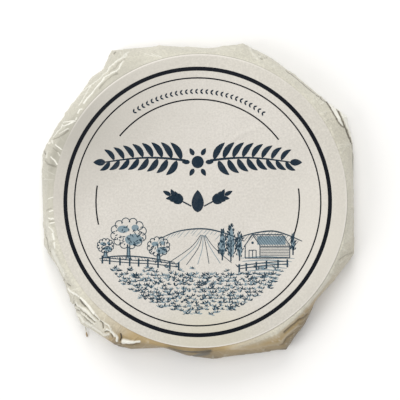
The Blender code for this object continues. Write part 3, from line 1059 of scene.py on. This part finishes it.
def clover(ink, shade, x, y, size):
    """Bunch of pointed leaves that fan out from one point."""
    blades = ink.random.choice((3, 4, 4, 5))
    for index in range(blades):
        turn = 90 + (index - (blades - 1) / 2) * 44 + ink.random.uniform(-16, 16)
        use = shade if ink.random.random() < 0.42 else ink
        use.leaf(x, y, size * ink.random.uniform(0.7, 1.1), size * ink.random.uniform(0.23, 0.36), turn, steps=3)


def meadow(ink, shade):
    """Country scene in the lower half of the label: hills, trees, a barn, a fence and dense clover."""
    left_hill = ((-64, -36.8), (-55, -35.4), (-44, -35.2), (-30, -36.6), (-15, -39.2))
    middle_hill = ((-25, -24), (-12, -19), (4, -17.6), (18, -20.5), (30, -25.4))
    right_hill = ((22, -25), (34, -21), (48, -19), (58, -21.4), (68, -25.6))
    for hill in (left_hill, middle_hill, right_hill):
        ink.line(hill, 0.9, taper=0.5, steps_each=10)
    hatch(ink, left_hill, 1.8, 0.8, 2, 0.32)
    hatch(shade, middle_hill, 4.4, -0.9, 2.4, 0.36)
    hatch(ink, right_hill, 5, -0.8, 2, 0.32)
    for index in range(7):
        share = index / 6
        (ink if index % 2 == 0 else shade).line(
            ((2 + 3 * share, -21.5 - 0.4 * share), (-5 + 16 * share, -30),
             (-22 + 44 * share, -41.5 + 2 * share)), 0.42, steps_each=6)
    for index in range(7):
        level = -36.5 - 2.1 * index
        shade.line(((28 + index, level), (44, level + 0.9), (63 - 1.7 * index, level - 0.3)), 0.7, 0.6, 6)
    round_tree(ink, shade, -45, -20.5, 12)
    round_tree(ink, shade, -25.5, -29, 7.6)
    round_tree(ink, shade, -60, -28.5, 5.6)
    for x, y, height in ((16, -36, 17.5), (21.6, -36.6, 21), (27.2, -36.2, 15.5), (62, -32.5, 11)):
        poplar(ink, shade, x, y, height)
    barn(ink, shade, 40.5, -36.5, 15.5)
    fence(ink, ((-62, -39), (-46, -40.6), (-30, -41.4), (-12, -43.4)), 6.2)
    fence(ink, ((27, -44.6), (42, -42.6), (59, -41.4)), 6.2)
    pitch = 3.3
    for row in range(14):
        for column in range(-22, 23):
            x = (column + 0.5 * (row % 2)) * pitch + ink.random.uniform(-0.9, 0.9)
            y = -43 - row * 2.25 + ink.random.uniform(-0.7, 0.7)
            size = ink.random.uniform(2.1, 3.1)
            if math.hypot(x, y + size * 0.5) > MEADOW_EDGE - 1.5 + ink.random.uniform(-0.8, 0.8):
                continue
            if row < 2 and ink.random.random() < 0.55:
                continue
            clover(ink, shade, x, y, size)


# Operators


class CHEESE_OT_wrapper(Operator):
    """Adds the waxed paper round the cheese, with its pleats, creases and folded corners"""
    bl_idname = "cheese.add_wrapper"
    bl_label = "Waxed Paper"

    def execute(self, context):
        look = context.scene.cheese_wrapper
        finish = waxed_paper_finish(look)
        rows = sum(row[4] for row in PROFILE)
        bm = bent_grid(look.columns, rows, wrapper_shape(look), stored=("crease", "damp"))
        finished("waxed_paper_wrapper", bm, finish, "waxed_paper", "wrapped_cheese")
        self.add_shred(finish)
        return {'FINISHED'}

    def add_shred(self, finish):
        """Thin twisted shred of paper at the lower left, with a dried brown end."""
        stem = ((-75, -77.8, 8), (-74.6, -80.6, 4), (-74.2, -84.4, 1.6), (-73.4, -88.8, 0.9))
        for name, start, end, thick, look in (
                ("paper_shred", 0, 2.4, 0.75, finish), ("shred_end", 2.3, 3, 1.15, drip_finish())):
            bm = bmesh.new()
            bmesh.ops.create_cone(bm, cap_ends=True, segments=10, radius1=0.5, radius2=0.5, depth=1)
            bmesh.ops.subdivide_edges(
                bm, edges=[edge for edge in bm.edges if abs(edge.verts[0].co.z - edge.verts[1].co.z) > 0.5],
                cuts=14, use_grid_fill=False)
            for vert in bm.verts:
                share = min(1, max(0, vert.co.z + 0.5))
                middle = through(stem, np.array([start + (end - start) * share]))[0]
                slim = 0.35 + 0.65 * math.sin(math.pi * (0.12 + 0.8 * share))
                around = Vector((vert.co.x, vert.co.y)) * thick * slim
                point = (middle[0] + around.x, middle[1] + 0.4 * around.y, middle[2] + around.y)
                vert.co = Vector(point) * MM
            bmesh.ops.recalc_face_normals(bm, faces=bm.faces)
            finished(name, bm, look, "waxed_paper")


class CHEESE_OT_label(Operator):
    """Adds the paper of the label"""
    bl_idname = "cheese.add_label"
    bl_label = "Label Paper"

    def execute(self, context):
        look = context.scene.cheese_label
        bm = bent_grid(LABEL_COLUMNS, LABEL_ROWS, label_shape(look))
        finished("label_sheet", bm, label_paper_finish(look), "label_paper", "label")
        return {'FINISHED'}


class CHEESE_OT_rings(Operator):
    """Adds the printed rings and the broken inner ring"""
    bl_idname = "cheese.add_rings"
    bl_label = "Printed Rings"

    def execute(self, context):
        look = context.scene.cheese_label
        ink = Print(1)
        thin = look.thin_line / MM
        ink.arc(THICK_RING, look.thick_line / MM)
        ink.arc(THIN_RING, thin)
        for start, end in INNER_ARCS:
            ink.arc(INNER_RING, thin, start, end)
        ink.lay("printed_rings", ink_finish("ring_ink", look.ink, 0.06), look)
        return {'FINISHED'}


class CHEESE_OT_ornaments(Operator):
    """Adds the leafy branch, the two ears of wheat with their seed, and the arc of small leaves"""
    bl_idname = "cheese.add_ornaments"
    bl_label = "Printed Ornaments"

    def execute(self, context):
        look = context.scene.cheese_label
        ink = Print(2)
        for side in (-1, 1):
            laurel(ink, side)
            wheat_ear(ink, side * 8.6, -0.6, 90 - side * 62, 3, 4.6)
        ink.spot(0, 25.6, 8, 8, corners=24)
        for turn in range(0, 360, 60):
            ink.leaf(*polar(0, 25.6, 5, turn), 5.4, 3, turn)
        ink.leaf(0, -7, 14.5, 8, 90, steps=14)
        for index in range(LEAF_PAIRS):
            angle = LEAF_ARC_START + (LEAF_ARC_END - LEAF_ARC_START) * index / (LEAF_PAIRS - 1)
            for spread in (-42, 42):
                ink.leaf(*polar(0, 0, LEAF_ARC, angle), 2.5, 1.15, angle - 90 + spread, steps=4)
        navy = weathered(look.ink, 19, 43, 60)
        ink.lay("printed_ornaments", ink_finish("ornament_ink", navy, 0.3), look)
        return {'FINISHED'}


class CHEESE_OT_meadow(Operator):
    """Adds the printed country scene"""
    bl_idname = "cheese.add_meadow"
    bl_label = "Printed Meadow"

    def execute(self, context):
        look = context.scene.cheese_label
        ink, shade = Print(3), Print(4)
        meadow(ink, shade)
        dark = weathered(look.ink, 44, 71, 88)
        ink.lay("printed_meadow_dark", ink_finish("meadow_dark_ink", dark, 0.5), look, lift=0.00002)
        shade.lay("printed_meadow_blue", ink_finish("meadow_blue_ink", look.blue_ink, 0.6), look)
        return {'FINISHED'}


class CHEESE_OT_stage(Operator):
    """Adds the floor, the lights and the camera"""
    bl_idname = "cheese.add_stage"
    bl_label = "Stage"

    def execute(self, context):
        look = context.scene.cheese_stage
        scene = context.scene
        bm = bmesh.new()
        bmesh.ops.create_grid(
            bm, x_segments=4, y_segments=4, size=FLOOR_HALF_WIDTH, matrix=Matrix.Translation((0, 0, FLOOR_LEVEL)))
        new_piece("floor", bm, floor_finish(look))

        world = bpy.data.worlds.new("even_light")
        world.use_nodes = True
        sky = world.node_tree.nodes["Background"].inputs
        sky["Color"].default_value = SKY_TINT
        sky["Strength"].default_value = look.sky
        scene.world = world
        for name, *place in LIGHTS:
            self.add_light(name + "_light", getattr(look, name), *place)

        target = Vector((*VIEW_TARGET, HEIGHT))
        data = bpy.data.cameras.new("camera")
        data.sensor_width = SENSOR_WIDTH
        data.lens = SENSOR_WIDTH * look.distance / look.view_width
        camera = bpy.data.objects.new("camera", data)
        camera.location = target + look.distance * Vector((0, -math.sin(look.lean), math.cos(look.lean)))
        camera.rotation_euler = (look.lean, 0, 0)
        scene.collection.objects.link(camera)
        scene.camera = camera
        scene.view_settings.view_transform = 'Standard'
        return {'FINISHED'}

    def add_light(self, name, power, bearing, height, distance, size):
        """Round light that faces the cheese."""
        data = bpy.data.lights.new(name, 'AREA')
        data.shape = 'DISK'
        data.size = size
        data.energy = power
        data.color = LIGHT_TINT
        light = bpy.data.objects.new(name, data)
        bearing, height = math.radians(bearing), math.radians(height)
        light.location = distance * Vector((
            math.cos(height) * math.cos(bearing), math.cos(height) * math.sin(bearing), math.sin(height)))
        light.rotation_euler = (-light.location).to_track_quat('-Z', 'Y').to_euler()
        bpy.context.scene.collection.objects.link(light)


class CHEESE_PT_panel(Panel):
    """Lists the pieces and their sizes and colours"""
    bl_idname = "CHEESE_PT_panel"
    bl_label = "Wrapped Brie"
    bl_space_type = 'VIEW_3D'
    bl_region_type = 'UI'
    bl_category = "Brie"

    def draw(self, context):
        for group in ("cheese_wrapper", "cheese_label", "cheese_stage"):
            look = getattr(context.scene, group)
            box = self.layout.box()
            for name in look.bl_rna.properties.keys():
                if name not in {"rna_type", "name"}:
                    box.prop(look, name)
        for operator in OPERATORS:
            self.layout.operator(operator.bl_idname)


OPERATORS = (
    CHEESE_OT_wrapper, CHEESE_OT_label, CHEESE_OT_rings, CHEESE_OT_ornaments, CHEESE_OT_meadow, CHEESE_OT_stage)
GROUPS = {"cheese_wrapper": WrapperLook, "cheese_label": LabelLook, "cheese_stage": StageLook}


def register():
    for group in GROUPS.values():
        bpy.utils.register_class(group)
    for name, group in GROUPS.items():
        setattr(bpy.types.Scene, name, PointerProperty(type=group))
    for operator in OPERATORS:
        bpy.utils.register_class(operator)
    bpy.utils.register_class(CHEESE_PT_panel)


def unregister():
    bpy.utils.unregister_class(CHEESE_PT_panel)
    for operator in reversed(OPERATORS):
        bpy.utils.unregister_class(operator)
    for name, group in GROUPS.items():
        delattr(bpy.types.Scene, name)
        bpy.utils.unregister_class(group)


def main():
    register()
    bpy.ops.cheese.add_stage()
    bpy.ops.cheese.add_wrapper()
    bpy.ops.cheese.add_label()
    bpy.ops.cheese.add_rings()
    bpy.ops.cheese.add_ornaments()
    bpy.ops.cheese.add_meadow()


if __name__ == "__main__":
    main()
